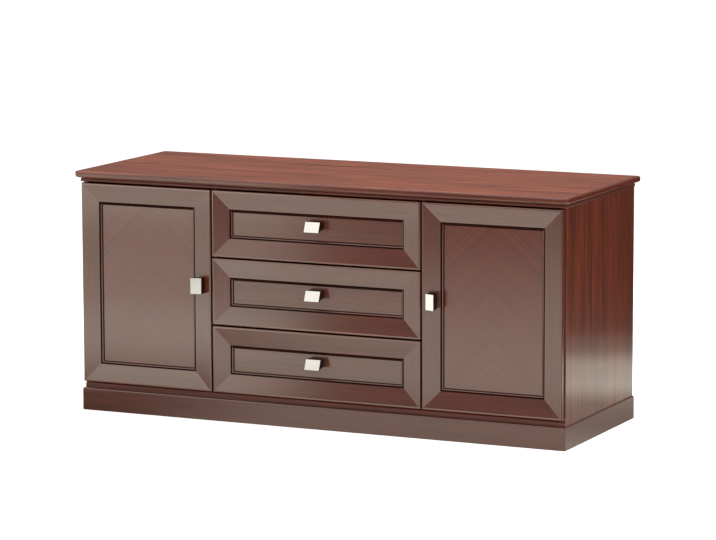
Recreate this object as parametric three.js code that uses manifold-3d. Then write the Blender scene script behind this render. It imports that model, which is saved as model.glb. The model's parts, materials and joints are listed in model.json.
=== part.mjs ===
// Office credenza: three drawers between two cupboards, on a plinth and under a moulded top.
// Millimetres, +Z up, the front faces -Y. The origin is on the floor, under the middle.
import * as THREE from 'three';
import { mergeVertices } from 'three/addons/utils/BufferGeometryUtils.js';
import Module from 'manifold-3d';

const wasm = await Module();
wasm.setup();

// Whole
const topWidth = 1638;
const topDepth = 600;
const overallHeight = 750;

// Top and the beaded board under it
const topThickness = 20;
const topEdgeReach = 9;          // width of the rounded edge, above and below
const topEdgeDrop = 6;           // and its height
const topCornerRadius = 25;
const topSideOverhang = 17;      // past the side panels
const topFrontOverhang = 18;     // past the faces of the doors and drawers
const topBackOverhang = 5;       // past the back panel
const underTopThickness = 14;
const underTopSetback = 10.5;    // behind the faces of the doors and drawers
const beadHeight = 10;
const beadRound = 4;
const beadProjection = 2.5;

// Carcass
const boardThickness = 18;
const backThickness = 5;
const bottomNose = 4;            // rounded front edge of the bottom panel, in front of the sides
const bottomNoseRadius = 7;
const shelfThickness = 18;
const shelfSetback = 30;         // behind the front edges of the carcass
const shelfPlay = 0.5;           // each side of a shelf

// Plinth
const plinthHeight = 70;
const plinthThickness = 18;
const plinthSetback = 9;         // behind the faces of the doors and drawers
const plinthSideReach = 5;       // past the side panels
const plinthEdgeRadius = 4;
const plinthBackInset = 20;      // from the back of the carcass to the rear plinth board

// Doors and drawer fronts
const frontThickness = 22;
const frontStandoff = 2;         // from a front's back face to the carcass
const frontGap = 5;              // between neighbouring fronts
const frontTopGap = 3;
const frontBottomGap = 4;
const doorReveal = 4;            // side panel that shows past a door's hinged edge
const drawerFrontWidth = 693;
const drawerNames = ['bottom', 'middle', 'top'];

// Mitred frame of a front, and its panel
const frameEdgeRadius = 3;
const frameLip = 2.5;            // flat rim inside the rounded edge
const frameWidth = 57;           // from the outer edge to the inner arris
const frameFall = 8;             // how far the face slopes back towards the panel
const quirkWidth = 2;
const quirkFloor = 13;           // depth behind the front plane
const frameBeadRadius = 2.75;
const panelDepth = 15.5;         // panel's face behind the front plane
const panelThickness = 5;
const panelOverlap = 8;          // panel's edge behind the frame's bead

// Wedge knob
const knobLength = 49;
const knobWidth = 31;
const knobThinSide = 28;         // height of the wedge at its low edge
const knobThickSide = 40;        // and at its high edge
const knobLipHeight = 9;         // straight part of the high edge, above the finger hollow
const knobFootLength = 34;
const knobFootWidth = 18;
const knobFootHeight = 6;
const knobSeatDepth = 6.5;       // flat seat milled in a door's sloping stile
const doorKnobInset = 37;        // from the door's free edge
const doorKnobRise = 17;         // above the middle of the door
const drawerKnobRise = 9;        // above the middle of the drawer front

// Hinges: a cup with a fixed pin in the door, and a swan-neck arm on the side panel
const hingeFromEnd = 110;        // from the door's top or bottom edge
const hingePinInset = 7;         // from the door's hinged edge
const hingePinDepth = 8;         // in front of the door's back face
const hingePinRadius = 1.5;
const hingeEyeRadius = 2.8;
const hingeArmGauge = 2.4;
const hingeArmWidth = 12;
const hingeArmLength = 52;       // behind the door's back face
const hingePlateStart = 8;       // behind the door's back face
const hingeNeckReach = 13.2;     // from the pin to the middle of the neck
const hingeNeckRadius = 3.2;
const hingeSidePlay = 0.8;       // each side of the arm in the cup
const cupRadius = 17.5;
const cupEdge = 2.8;             // from the door's hinged edge
const cupDepth = 12.8;
const cupWall = 1;
const cupSlotReach = 12;         // from the middle of the cup to the end of its slot
const cupKnuckleHalf = 9;        // half height of the cup's square side
const cupFlange = 1.2;
const cupFlangeEdge = 4.5;       // from the door's hinged edge
const cupFlangeWidth = 26;
const cupFlangeHeight = 54;
const cupFlangeRadius = 6;

// Drawer boxes
const slideSpace = 12.7;         // each side of a drawer box
const boxWall = 14;
const boxHeight = 140;
const boxRearRoom = 50;          // behind a drawer box
const boxRise = 28;              // above the drawer front's lower edge
const drawerBottomThickness = 5;
const drawerBottomRise = 12;
const drawerGrooveDepth = 6;

// Two-member drawer slides
const slideShort = 10;           // a slide is shorter than its drawer box
const slideSetback = 3;          // behind the front edges of the carcass
const slideHeight = 36;
const slideGauge = 1.2;
const slideReach = 10;
const slideLip = 3;
const slideInnerReach = 8.5;

// Fits and smoothness
const seatGap = 0.3;
const runningGap = 0.3;
const roundSteps = 3;

// Lines and planes that the pieces share, with the faces of the fronts at y = 0
const carcassHalf = topWidth / 2 - topSideOverhang;
const sideInner = carcassHalf - boardThickness;
const carcassFront = frontThickness + frontStandoff;
const topBack = topDepth - topFrontOverhang;
const carcassBack = topBack - topBackOverhang;
const backFace = carcassBack - backThickness;
const underTopBase = overallHeight - topThickness - underTopThickness;
const bottomTop = plinthHeight + boardThickness;
const frontsHalf = carcassHalf - doorReveal;
const frontsTop = underTopBase - frontTopGap;
const frontsBottom = bottomTop + frontBottomGap;
const doorWidth = frontsHalf - drawerFrontWidth / 2 - frontGap;
const doorHeight = frontsTop - frontsBottom;
const drawerPitch = (doorHeight + frontGap) / drawerNames.length;
const drawerFrontHeight = drawerPitch - frontGap;
const dividerMiddle = (drawerFrontWidth + frontGap) / 2;
const dividerInner = dividerMiddle - boardThickness / 2;
const dividerOuter = dividerMiddle + boardThickness / 2;
const frameBeadMiddle = frameWidth + quirkWidth + frameBeadRadius;
const frameSight = frameBeadMiddle + frameBeadRadius;
const frameRebate = frameSight - panelOverlap;
const plinthHalf = carcassHalf + plinthSideReach;
const boxHalf = dividerInner - slideSpace;
const boxFront = frontThickness + seatGap;
const boxDepth = backFace - boxFront - boxRearRoom;
const slideLength = boxDepth - slideShort;
const slideFront = carcassFront + slideSetback;
const slideMiddle = boxRise + boxHeight / 2 - drawerFrontHeight / 2;
const knobReach = knobThickSide + seatGap - knobSeatDepth;

// Finishes
const veneer = new THREE.MeshStandardMaterial({ color: '#5d2918', roughness: 0.3, metalness: 0 });
const lining = new THREE.MeshStandardMaterial({ color: '#4a2416', roughness: 0.5, metalness: 0 });
const birch = new THREE.MeshStandardMaterial({ color: '#c8a67a', roughness: 0.55, metalness: 0 });
const hardboard = new THREE.MeshStandardMaterial({ color: '#6b4630', roughness: 0.7, metalness: 0 });
const nickel = new THREE.MeshStandardMaterial({ color: '#d9d6cf', roughness: 0.28, metalness: 1 });
const zincSteel = new THREE.MeshStandardMaterial({ color: '#b6babd', roughness: 0.35, metalness: 1 });

// Turns a closed geometry into a solid that can be joined and cut.
function solidOf(geometry) {
  const bare = new THREE.BufferGeometry();
  bare.setAttribute('position', geometry.getAttribute('position').clone());
  if (geometry.index) bare.setIndex(geometry.index.clone());
  const welded = mergeVertices(bare, 1e-4);
  return new wasm.Manifold(new wasm.Mesh({
    numProp: 3,
    vertProperties: welded.getAttribute('position').array,
    triVerts: new Uint32Array(welded.index.array),
  }));
}

function geometryOf(solid) {
  const mesh = solid.getMesh();
  const geometry = new THREE.BufferGeometry();
  geometry.setAttribute('position', new THREE.BufferAttribute(mesh.vertProperties, 3));
  geometry.setIndex(new THREE.BufferAttribute(mesh.triVerts, 1));
  geometry.computeVertexNormals();
  return geometry;
}

function joined(...pieces) {
  return geometryOf(pieces.map(solidOf).reduce((whole, piece) => whole.add(piece)));
}

function cut(geometry, ...tools) {
  return geometryOf(tools.map(solidOf).reduce((left, tool) => left.subtract(tool), solidOf(geometry)));
}

// A rectangular board between two corners, with both corners exactly as given.
function board(low, high) {
  const geometry = new THREE.BoxGeometry(1, 1, 1);
  const place = geometry.getAttribute('position');
  const side = new THREE.Vector3();
  for (let i = 0; i < place.count; i++) {
    side.fromBufferAttribute(place, i);
    place.setXYZ(
      i,
      side.x < 0 ? low[0] : high[0],
      side.y < 0 ? low[1] : high[1],
      side.z < 0 ? low[2] : high[2],
    );
  }
  return geometry;
}

// The points of an outline, without the repeats where a line meets an arc.
function outline(path, steps = roundSteps) {
  const points = path.getPoints(steps);
  return points.filter((point, i) => {
    const before = points[(i + points.length - 1) % points.length];
    return point.distanceTo(before) > 1e-6;
  });
}

function extruded(path, depth, steps = roundSteps) {
  const shape = new THREE.Shape(outline(path, steps));
  shape.holes = path.holes;
  return new THREE.ExtrudeGeometry(shape, { depth, bevelEnabled: false, curveSegments: steps });
}

function roundedRectangle(low, high, radius) {
  const path = new THREE.Shape();
  path.moveTo(low[0], low[1] + radius);
  path.absarc(low[0] + radius, low[1] + radius, radius, Math.PI, 1.5 * Math.PI, false);
  path.absarc(high[0] - radius, low[1] + radius, radius, 1.5 * Math.PI, 2 * Math.PI, false);
  path.absarc(high[0] - radius, high[1] - radius, radius, 0, 0.5 * Math.PI, false);
  path.absarc(low[0] + radius, high[1] - radius, radius, 0.5 * Math.PI, Math.PI, false);
  return path;
}

// The same piece for the other side of the credenza.
function mirrored(geometry) {
  const copy = geometry.index ? geometry.clone() : mergeVertices(geometry);
  copy.scale(-1, 1, 1);
  const order = copy.index;
  for (let i = 0; i < order.count; i += 3) {
    const second = order.getX(i + 1);
    order.setX(i + 1, order.getX(i + 2));
    order.setX(i + 2, second);
  }
  return copy;
}

// A section turned in four steps and pulled out to a rectangle, so that its corners are mitres.
// Section points are distance in from the outer edge, and depth.
function mitredRing(section, width, height) {
  const reach = 2 * Math.max(...section.map((point) => point.x));
  const loop = section.map((point) => new THREE.Vector2(reach - point.x, point.y));
  if (THREE.ShapeUtils.isClockWise(loop)) loop.reverse();
  loop.push(loop[0].clone());
  const ring = new THREE.LatheGeometry(loop, 4, Math.PI / 4);
  const place = ring.getAttribute('position');
  for (let i = 0; i < place.count; i++) {
    const x = place.getX(i) * Math.SQRT2;
    const z = place.getZ(i) * Math.SQRT2;
    place.setX(i, x + Math.sign(x) * (width / 2 - reach));
    place.setZ(i, z + Math.sign(z) * (height / 2 - reach));
  }
  return ring;
}

// A straight board of the given section along X, each end square (0) or mitred (1).
// Section points are distance in from the outer face, and height.
function mitredBoard(section, start, end, startMitre, endMitre) {
  const bar = extruded(section, 1);
  const place = bar.getAttribute('position');
  for (let i = 0; i < place.count; i++) {
    const inward = place.getX(i);
    const run = place.getZ(i) < 0.5 ? start + inward * startMitre : end - inward * endMitre;
    place.setXYZ(i, run, inward, place.getY(i));
  }
  return bar;
}

// Top: round front corners in plan, rounded upper and lower edges
function topPanel() {
  const half = topWidth / 2 - topEdgeReach;
  const front = topEdgeReach - topFrontOverhang;
  const back = topBack - topEdgeReach;
  const corner = topCornerRadius - topEdgeReach;
  const plan = new THREE.Shape();
  plan.moveTo(-half, back);
  plan.lineTo(-half, front + corner);
  plan.absarc(corner - half, front + corner, corner, Math.PI, 1.5 * Math.PI, false);
  plan.absarc(half - corner, front + corner, corner, 1.5 * Math.PI, 2 * Math.PI, false);
  plan.lineTo(half, back);
  const slab = new THREE.ExtrudeGeometry(new THREE.Shape(outline(plan)), {
    depth: topThickness - 2 * topEdgeDrop,
    bevelThickness: topEdgeDrop,
    bevelSize: topEdgeReach,
    bevelSegments: 2 * roundSteps,
  });
  return slab.translate(0, 0, overallHeight - topThickness + topEdgeDrop);
}

// Board under the top, with a bead along its front and sides
function underTopPanel() {
  const core = board(
    [-carcassHalf, underTopSetback, underTopBase],
    [carcassHalf, carcassBack, underTopBase + underTopThickness],
  );
  const plan = new THREE.Shape();
  plan.moveTo(-carcassHalf, underTopSetback);
  plan.lineTo(carcassHalf, underTopSetback);
  plan.lineTo(carcassHalf, carcassBack);
  plan.lineTo(-carcassHalf, carcassBack);
  const bead = new THREE.ExtrudeGeometry(plan, {
    depth: beadHeight - 2 * beadRound,
    bevelThickness: beadRound,
    bevelSize: beadProjection,
    bevelSegments: roundSteps,
  });
  bead.translate(0, 0, underTopBase + beadRound);
  const behind = board(
    [-topWidth, carcassBack, 0],
    [topWidth, topDepth, overallHeight],
  );
  return cut(joined(core, bead), behind);
}

// Bottom panel, whose rounded front edge shows under the doors and runs across the side panels
function bottomPanel() {
  const nose = carcassFront - bottomNose;
  const section = new THREE.Shape();
  section.moveTo(backFace, plinthHeight);
  section.lineTo(backFace, bottomTop);
  section.lineTo(nose + bottomNoseRadius, bottomTop);
  section.absarc(
    nose + bottomNoseRadius, bottomTop - bottomNoseRadius, bottomNoseRadius, 0.5 * Math.PI, Math.PI, false,
  );
  section.lineTo(nose, plinthHeight);
  const notch = board(
    [sideInner, carcassFront - seatGap, 0],
    [topWidth, topDepth, overallHeight],
  );
  return cut(mitredBoard(section, -carcassHalf, carcassHalf, 0, 0), notch, mirrored(notch));
}

function sidePanel() {
  return board([sideInner, carcassFront, plinthHeight], [carcassHalf, carcassBack, underTopBase]);
}

function divider() {
  return board([dividerInner, carcassFront, bottomTop], [dividerOuter, backFace, underTopBase]);
}

function backPanel() {
  return board([-sideInner, backFace, plinthHeight], [sideInner, carcassBack, underTopBase]);
}

function shelf() {
  const base = (bottomTop + underTopBase - shelfThickness) / 2;
  return board(
    [dividerOuter + shelfPlay, carcassFront + shelfSetback, base],
    [sideInner - shelfPlay, backFace - shelfPlay, base + shelfThickness],
  );
}

// Plinth: a mitred front and sides with an eased upper edge, a rear board and two stretchers
function plinthSection() {
  const section = new THREE.Shape();
  section.moveTo(0, 0);
  section.lineTo(plinthThickness, 0);
  section.lineTo(plinthThickness, plinthHeight);
  section.lineTo(plinthEdgeRadius, plinthHeight);
  section.absarc(
    plinthEdgeRadius, plinthHeight - plinthEdgeRadius, plinthEdgeRadius, 0.5 * Math.PI, Math.PI, false,
  );
  return section;
}

function plinthFront() {
  return mitredBoard(plinthSection(), -plinthHalf, plinthHalf, 1, 1).translate(0, plinthSetback, 0);
}

function plinthSide() {
  const start = plinthSetback + seatGap * Math.SQRT2;
  const run = mitredBoard(plinthSection(), start, carcassBack, 1, 0);
  return run.rotateZ(Math.PI / 2).translate(plinthHalf, 0, 0);
}

const plinthRear = carcassBack - plinthBackInset;

function plinthBack() {
  const half = plinthHalf - plinthThickness - seatGap;
  return board([-half, plinthRear - plinthThickness, 0], [half, plinthRear, plinthHeight]);
}

function plinthStretcher() {
  return board(
    [dividerMiddle - plinthThickness / 2, plinthSetback + plinthThickness + seatGap, 0],
    [dividerMiddle + plinthThickness / 2, plinthRear - plinthThickness - seatGap, plinthHeight],
  );
}

// Frame of a door or drawer front: a rounded edge, a flat lip, a face that slopes in to a quirk and a bead,
// and a rebate behind the bead for the panel
function frameSection() {
  const section = new THREE.Path();
  section.moveTo(0, frameEdgeRadius);
  section.absarc(frameEdgeRadius, frameEdgeRadius, frameEdgeRadius, Math.PI, 1.5 * Math.PI, false);
  section.lineTo(frameEdgeRadius + frameLip, 0);
  section.lineTo(frameWidth, frameFall);
  section.lineTo(frameWidth, quirkFloor);
  section.absarc(frameBeadMiddle, quirkFloor, frameBeadRadius, Math.PI, 2 * Math.PI, false);
  section.lineTo(frameSight, panelDepth - seatGap);
  section.lineTo(frameRebate, panelDepth - seatGap);
  section.lineTo(frameRebate, frontThickness);
  section.absarc(
    frameEdgeRadius, frontThickness - frameEdgeRadius, frameEdgeRadius, 0.5 * Math.PI, Math.PI, false,
  );
  return outline(section);
}

function frontPanel(width, height) {
  const halfWidth = width / 2 - frameRebate - seatGap;
  const halfHeight = height / 2 - frameRebate - seatGap;
  return board(
    [-halfWidth, panelDepth, -halfHeight],
    [halfWidth, panelDepth + panelThickness, halfHeight],
  );
}

// Wedge knob: low edge up, high edge down with a hollow for the fingers, foot at y = 0
function knob() {
  const half = knobWidth / 2;
  const footHalf = knobFootWidth / 2;
  const lip = knobThickSide - knobLipHeight;
  const side = new THREE.Shape();
  side.moveTo(-knobFootHeight, half);
  side.lineTo(-knobThinSide, half);
  side.lineTo(-knobThickSide, -half);
  side.lineTo(-lip, -half);
  side.quadraticCurveTo(-lip, -footHalf, -knobFootHeight, -footHalf);
  const wedge = mitredBoard(side, -knobLength / 2, knobLength / 2, 0, 0);
  const foot = board(
    [-knobFootLength / 2, -2 * knobFootHeight, -footHalf],
    [knobFootLength / 2, 0, footHalf],
  );
  return joined(wedge, foot);
}

// Hinge arm, about the right door's hinged edge and back face: an eye round the pin, a swan neck out of
// the cup, and a plate flat on the side panel
function hingeArm() {
  const half = hingeArmGauge / 2;
  const meet = Math.asin(half / hingeEyeRadius);
  const bendX = hingeNeckRadius - hingePinInset - hingeNeckReach;
  const bendY = hingeNeckRadius - hingePinDepth;
  const neckInner = bendX - hingeNeckRadius + half;
  const neckOuter = bendX - hingeNeckRadius - half;
  const plate = sideInner - frontsHalf - seatGap;
  const path = new THREE.Shape();
  path.absarc(-hingePinInset, -hingePinDepth, hingeEyeRadius, Math.PI + meet, 3 * Math.PI - meet, false);
  path.absarc(bendX, bendY, hingeNeckRadius - half, 1.5 * Math.PI, Math.PI, true);
  path.lineTo(neckInner, hingePlateStart);
  path.lineTo(plate, hingePlateStart);
  path.lineTo(plate, hingeArmLength);
  path.lineTo(neckOuter, hingeArmLength);
  path.absarc(bendX, bendY, hingeNeckRadius + half, Math.PI, 1.5 * Math.PI, false);
  const eye = new THREE.Path();
  eye.absarc(-hingePinInset, -hingePinDepth, hingePinRadius + runningGap, 0, 2 * Math.PI, false);
  path.holes.push(eye);
  return extruded(path, hingeArmWidth, 2 * roundSteps).translate(0, 0, -hingeArmWidth / 2);
}

// Outline of the hinge cup: round, with a square side towards the hinged edge
const cupMiddle = cupEdge + cupRadius;

function cupBlock(gap, depth) {
  const meet = Math.asin(cupKnuckleHalf / cupRadius);
  const path = new THREE.Shape();
  path.moveTo(gap - cupEdge, -cupKnuckleHalf - gap);
  path.lineTo(gap - cupEdge, cupKnuckleHalf + gap);
  path.absarc(-cupMiddle, 0, cupRadius + gap, meet, 2 * Math.PI - meet, false);
  return extruded(path, depth, 2 * roundSteps).rotateX(Math.PI / 2);
}

function hingeCup() {
  const slotHalf = hingeArmWidth / 2 + hingeSidePlay;
  const plate = roundedRectangle(
    [-cupFlangeEdge - cupFlangeWidth, -cupFlangeHeight / 2],
    [-cupFlangeEdge, cupFlangeHeight / 2],
    cupFlangeRadius,
  );
  const flange = extruded(plate, cupFlange).rotateX(Math.PI / 2).translate(0, cupFlange, 0);
  const slot = board(
    [-cupMiddle - cupSlotReach, cupWall - cupDepth, -slotHalf],
    [-cupEdge - cupWall, cupDepth, slotHalf],
  );
  const pinLength = 2 * (slotHalf + cupWall);
  const pin = new THREE.CylinderGeometry(hingePinRadius, hingePinRadius, pinLength, 4 * roundSteps);
  pin.rotateX(Math.PI / 2).translate(-hingePinInset, -hingePinDepth, 0);
  return joined(cut(joined(cupBlock(0, cupDepth), flange), slot), pin);
}

// Drawer box: four glued walls, grooved for a bottom that slides in under the rear wall
const boxBase = boxRise - drawerFrontHeight / 2;
const boxBack = boxFront + boxDepth;
const boxInner = boxHalf - boxWall;
const grooveBase = boxBase + drawerBottomRise;
const grooveTop = grooveBase + drawerBottomThickness + 2 * seatGap;

function drawerBox() {
  const walls = board([-boxHalf, boxFront, boxBase], [boxHalf, boxBack, boxBase + boxHeight]);
  const inside = board(
    [-boxInner, boxFront + boxWall, boxBase - boxWall],
    [boxInner, boxBack - boxWall, boxBase + 2 * boxHeight],
  );
  const groove = board(
    [-boxInner - drawerGrooveDepth, boxFront + boxWall - drawerGrooveDepth, grooveBase],
    [boxInner + drawerGrooveDepth, boxBack + boxWall, grooveTop],
  );
  const rear = board(
    [-boxInner, boxBack - 2 * boxWall, boxBase - boxWall],
    [boxInner, boxBack + boxWall, grooveTop],
  );
  return cut(walls, inside, groove, rear);
}

function drawerBottom() {
  const half = boxInner + drawerGrooveDepth - seatGap;
  return board(
    [-half, boxFront + boxWall - drawerGrooveDepth + seatGap, grooveBase + seatGap],
    [half, boxBack, grooveBase + seatGap + drawerBottomThickness],
  );
}

// Slide members: a channel with turned lips on the divider, and a smaller one on the drawer inside it
function slideChannel(points) {
  const path = new THREE.Shape(points.map(([x, z]) => new THREE.Vector2(x, z)));
  const channel = extruded(path, slideLength).rotateX(Math.PI / 2);
  return channel.translate(dividerInner, slideFront + slideLength, slideMiddle);
}

const slideHalf = slideHeight / 2;
const slideMouth = slideHalf - slideGauge - slideLip;

function cabinetSlide() {
  const web = seatGap + slideGauge;
  const lip = slideReach - slideGauge;
  const flange = slideHalf - slideGauge;
  return slideChannel([
    [-seatGap, -slideHalf],
    [-seatGap, slideHalf],
    [-slideReach, slideHalf],
    [-slideReach, slideMouth],
    [-lip, slideMouth],
    [-lip, flange],
    [-web, flange],
    [-web, -flange],
    [-lip, -flange],
    [-lip, -slideMouth],
    [-slideReach, -slideMouth],
    [-slideReach, -slideHalf],
  ]);
}

function drawerSlide() {
  const half = slideMouth - runningGap;
  const back = slideSpace - seatGap;
  const web = back - slideGauge;
  const edge = slideSpace - slideInnerReach;
  return slideChannel([
    [-back, -half],
    [-edge, -half],
    [-edge, slideGauge - half],
    [-web, slideGauge - half],
    [-web, half - slideGauge],
    [-edge, half - slideGauge],
    [-edge, half],
    [-back, half],
  ]);
}

function add(group, name, geometry, material) {
  const mesh = new THREE.Mesh(geometry, material);
  mesh.name = name;
  group.add(mesh);
  return mesh;
}

function addPair(group, name, geometry, material) {
  add(group, `right_${name}`, geometry, material);
  add(group, `left_${name}`, mirrored(geometry), material);
}

const credenza = new THREE.Group();
credenza.position.y = (knobReach - topBack) / 2;

// Cabinet
const cabinet = new THREE.Group();
credenza.add(cabinet);
add(cabinet, 'top_panel', topPanel(), veneer);
add(cabinet, 'under_top_panel', underTopPanel(), veneer);
addPair(cabinet, 'side_panel', sidePanel(), veneer);
addPair(cabinet, 'divider', divider(), lining);
add(cabinet, 'bottom_panel', bottomPanel(), veneer);
add(cabinet, 'back_panel', backPanel(), hardboard);
addPair(cabinet, 'shelf', shelf(), lining);
add(cabinet, 'plinth_front', plinthFront(), veneer);
addPair(cabinet, 'plinth_side', plinthSide(), veneer);
add(cabinet, 'plinth_back', plinthBack(), lining);
addPair(cabinet, 'plinth_stretcher', plinthStretcher(), lining);

// Doors, hinged at their outer edges
const hingeRise = doorHeight / 2 - hingeFromEnd;
const hinges = [['lower', -hingeRise], ['upper', hingeRise]];
const doorMiddleX = frontsHalf - doorWidth / 2;
const doorMiddleZ = frontsBottom + doorHeight / 2;
const doorKnobX = doorWidth / 2 - doorKnobInset;

function doorFrame() {
  const pockets = hinges.map(([, rise]) => {
    const pocket = cupBlock(seatGap, 2 * cupDepth + seatGap);
    return pocket.translate(doorWidth / 2, frontThickness + cupDepth, rise);
  });
  const seatX = knobFootWidth / 2 + seatGap;
  const seatZ = knobFootLength / 2 + seatGap;
  const seat = board(
    [-doorKnobX - seatX, -knobSeatDepth, doorKnobRise - seatZ],
    [-doorKnobX + seatX, knobSeatDepth, doorKnobRise + seatZ],
  );
  return cut(mitredRing(frameSection(), doorWidth, doorHeight), ...pockets, seat);
}

for (const [side, sign] of [['left', -1], ['right', 1]]) {
  const handed = (geometry) => (sign < 0 ? mirrored(geometry) : geometry);
  const door = new THREE.Group();
  door.position.set(sign * doorMiddleX, 0, doorMiddleZ);
  credenza.add(door);
  add(door, `${side}_door_frame`, handed(doorFrame()), veneer);
  add(door, `${side}_door_panel`, frontPanel(doorWidth, doorHeight), veneer);
  const pull = add(door, `${side}_door_knob`, knob(), nickel);
  pull.position.set(-sign * doorKnobX, knobSeatDepth - seatGap, doorKnobRise);
  pull.rotation.y = -sign * Math.PI / 2;
  for (const [level, rise] of hinges) {
    const cup = add(door, `${side}_${level}_hinge_cup`, handed(hingeCup()), zincSteel);
    cup.position.set(sign * doorWidth / 2, frontThickness, rise);
    const arm = add(cabinet, `${side}_${level}_hinge_arm`, handed(hingeArm()), zincSteel);
    arm.position.set(sign * frontsHalf, frontThickness, doorMiddleZ + rise);
  }
}

// Drawers, on slides between the dividers
drawerNames.forEach((level, i) => {
  const drawer = new THREE.Group();
  drawer.position.z = frontsBottom + drawerFrontHeight / 2 + i * drawerPitch;
  credenza.add(drawer);
  const frame = mitredRing(frameSection(), drawerFrontWidth, drawerFrontHeight);
  add(drawer, `${level}_drawer_frame`, frame, veneer);
  add(drawer, `${level}_drawer_panel`, frontPanel(drawerFrontWidth, drawerFrontHeight), veneer);
  const pull = add(drawer, `${level}_drawer_knob`, knob(), nickel);
  pull.position.set(0, panelDepth - seatGap, drawerKnobRise);
  add(drawer, `${level}_drawer_box`, drawerBox(), birch);
  add(drawer, `${level}_drawer_bottom`, drawerBottom(), birch);
  addPair(drawer, `${level}_drawer_slide`, drawerSlide(), zincSteel);
  const runners = new THREE.Group();
  runners.position.z = drawer.position.z;
  cabinet.add(runners);
  addPair(runners, `${level}_cabinet_slide`, cabinetSlide(), zincSteel);
});

export default credenza;
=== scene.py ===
# Office credenza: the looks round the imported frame.
import json
import math

import bmesh
import bpy
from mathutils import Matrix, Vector


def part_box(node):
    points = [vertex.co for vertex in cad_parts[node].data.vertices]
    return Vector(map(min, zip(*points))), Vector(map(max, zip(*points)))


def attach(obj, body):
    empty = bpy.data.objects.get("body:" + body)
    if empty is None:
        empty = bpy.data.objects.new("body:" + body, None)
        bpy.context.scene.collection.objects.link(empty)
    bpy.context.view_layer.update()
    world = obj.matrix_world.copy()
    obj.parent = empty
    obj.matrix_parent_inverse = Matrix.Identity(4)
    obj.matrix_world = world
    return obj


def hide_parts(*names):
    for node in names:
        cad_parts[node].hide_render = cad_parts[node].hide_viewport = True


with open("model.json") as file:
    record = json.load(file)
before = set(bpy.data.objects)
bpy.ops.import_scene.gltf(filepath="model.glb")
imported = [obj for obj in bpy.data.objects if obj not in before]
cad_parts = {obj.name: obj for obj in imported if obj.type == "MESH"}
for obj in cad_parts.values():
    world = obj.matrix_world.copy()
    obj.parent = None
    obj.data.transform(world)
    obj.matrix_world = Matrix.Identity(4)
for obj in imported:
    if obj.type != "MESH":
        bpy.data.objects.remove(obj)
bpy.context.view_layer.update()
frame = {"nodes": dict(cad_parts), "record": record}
bodies = frame["record"]["behaviour"]["bodies"]
bodyOf = {node: body for body, nodes in bodies.items() for node in nodes}
print("frame loaded:", len(bodyOf), "nodes")

mm = 0.001
sides = {"left": 1, "right": -1}   # each side, and the way from it to the middle
levels = ("bottom", "middle", "top")


def linear(hexColour):
    parts = [int(hexColour[i:i + 2], 16) / 255 for i in (1, 3, 5)]
    return tuple(c / 12.92 if c <= 0.04045 else ((c + 0.055) / 1.055) ** 2.4 for c in parts) + (1.0,)


def addNode(tree, kind, settings=None, links=None):
    node = tree.nodes.new(kind)
    for name, value in (settings or {}).items():
        if isinstance(name, str) and name in node.bl_rna.properties:
            setattr(node, name, value)
        else:
            node.inputs[name].default_value = value
    for name, source in (links or {}).items():
        tree.links.new(source, node.inputs[name])
    return node


def fed(tree, node, **values):
    # Feeds inputs by name, "_" for a space, with a socket or a plain value
    for name, value in values.items():
        socket = node.inputs[name.replace("_", " ")]
        if isinstance(value, bpy.types.NodeSocket):
            tree.links.new(value, socket)
        else:
            socket.default_value = value
    return node.outputs[0]


def calc(tree, operation, *terms):
    node = addNode(tree, "ShaderNodeMath", {"operation": operation})
    for socket, term in zip(node.inputs, terms):
        if isinstance(term, bpy.types.NodeSocket):
            tree.links.new(term, socket)
        else:
            socket.default_value = term
    return node.outputs[0]


def spread(tree, source, start, end, first=0.0, last=1.0, blend="LINEAR"):
    # Levels from first to last while the source goes from start to end
    node = addNode(tree, "ShaderNodeMapRange", {"interpolation_type": blend})
    return fed(tree, node, Value=source, From_Min=start, From_Max=end, To_Min=first, To_Max=last)


def eased(tree, source, start, end, first, last):
    return spread(tree, source, start, end, first, last, "SMOOTHSTEP")


def ramp(tree, source, stops, blend="LINEAR"):
    node = addNode(tree, "ShaderNodeValToRGB", {}, {"Fac": source})
    node.color_ramp.interpolation = blend
    points = node.color_ramp.elements
    while len(points) < len(stops):
        points.new(0.5)
    for point, (place, colour) in zip(points, stops):
        point.position = place
        point.color = linear(colour)
    return node.outputs[0]


def objectPoint(tree):
    return addNode(tree, "ShaderNodeTexCoord").outputs["Object"]


def axes(tree, place):
    return addNode(tree, "ShaderNodeSeparateXYZ", {}, {0: place}).outputs


def noise(tree, place, detail, scale=1.0, roughness=0.5, bend=0.0):
    node = addNode(tree, "ShaderNodeTexNoise")
    fed(tree, node, Vector=place, Scale=scale, Detail=detail, Roughness=roughness, Distortion=bend)
    return node.outputs["Fac"]


def bump(tree, height, strength, depth):
    return fed(tree, addNode(tree, "ShaderNodeBump"), Height=height, Strength=strength, Distance=depth)


def stretched(tree, place, sizes):
    return fed(tree, addNode(tree, "ShaderNodeMapping"), Vector=place, Scale=[1 / size for size in sizes])


def newMaterial(name):
    material = bpy.data.materials.new(name)
    material.use_nodes = True
    material.node_tree.nodes.clear()
    return material, material.node_tree


def surfaced(material, shader):
    addNode(material.node_tree, "ShaderNodeOutputMaterial", {}, {"Surface": shader})
    return material


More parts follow.
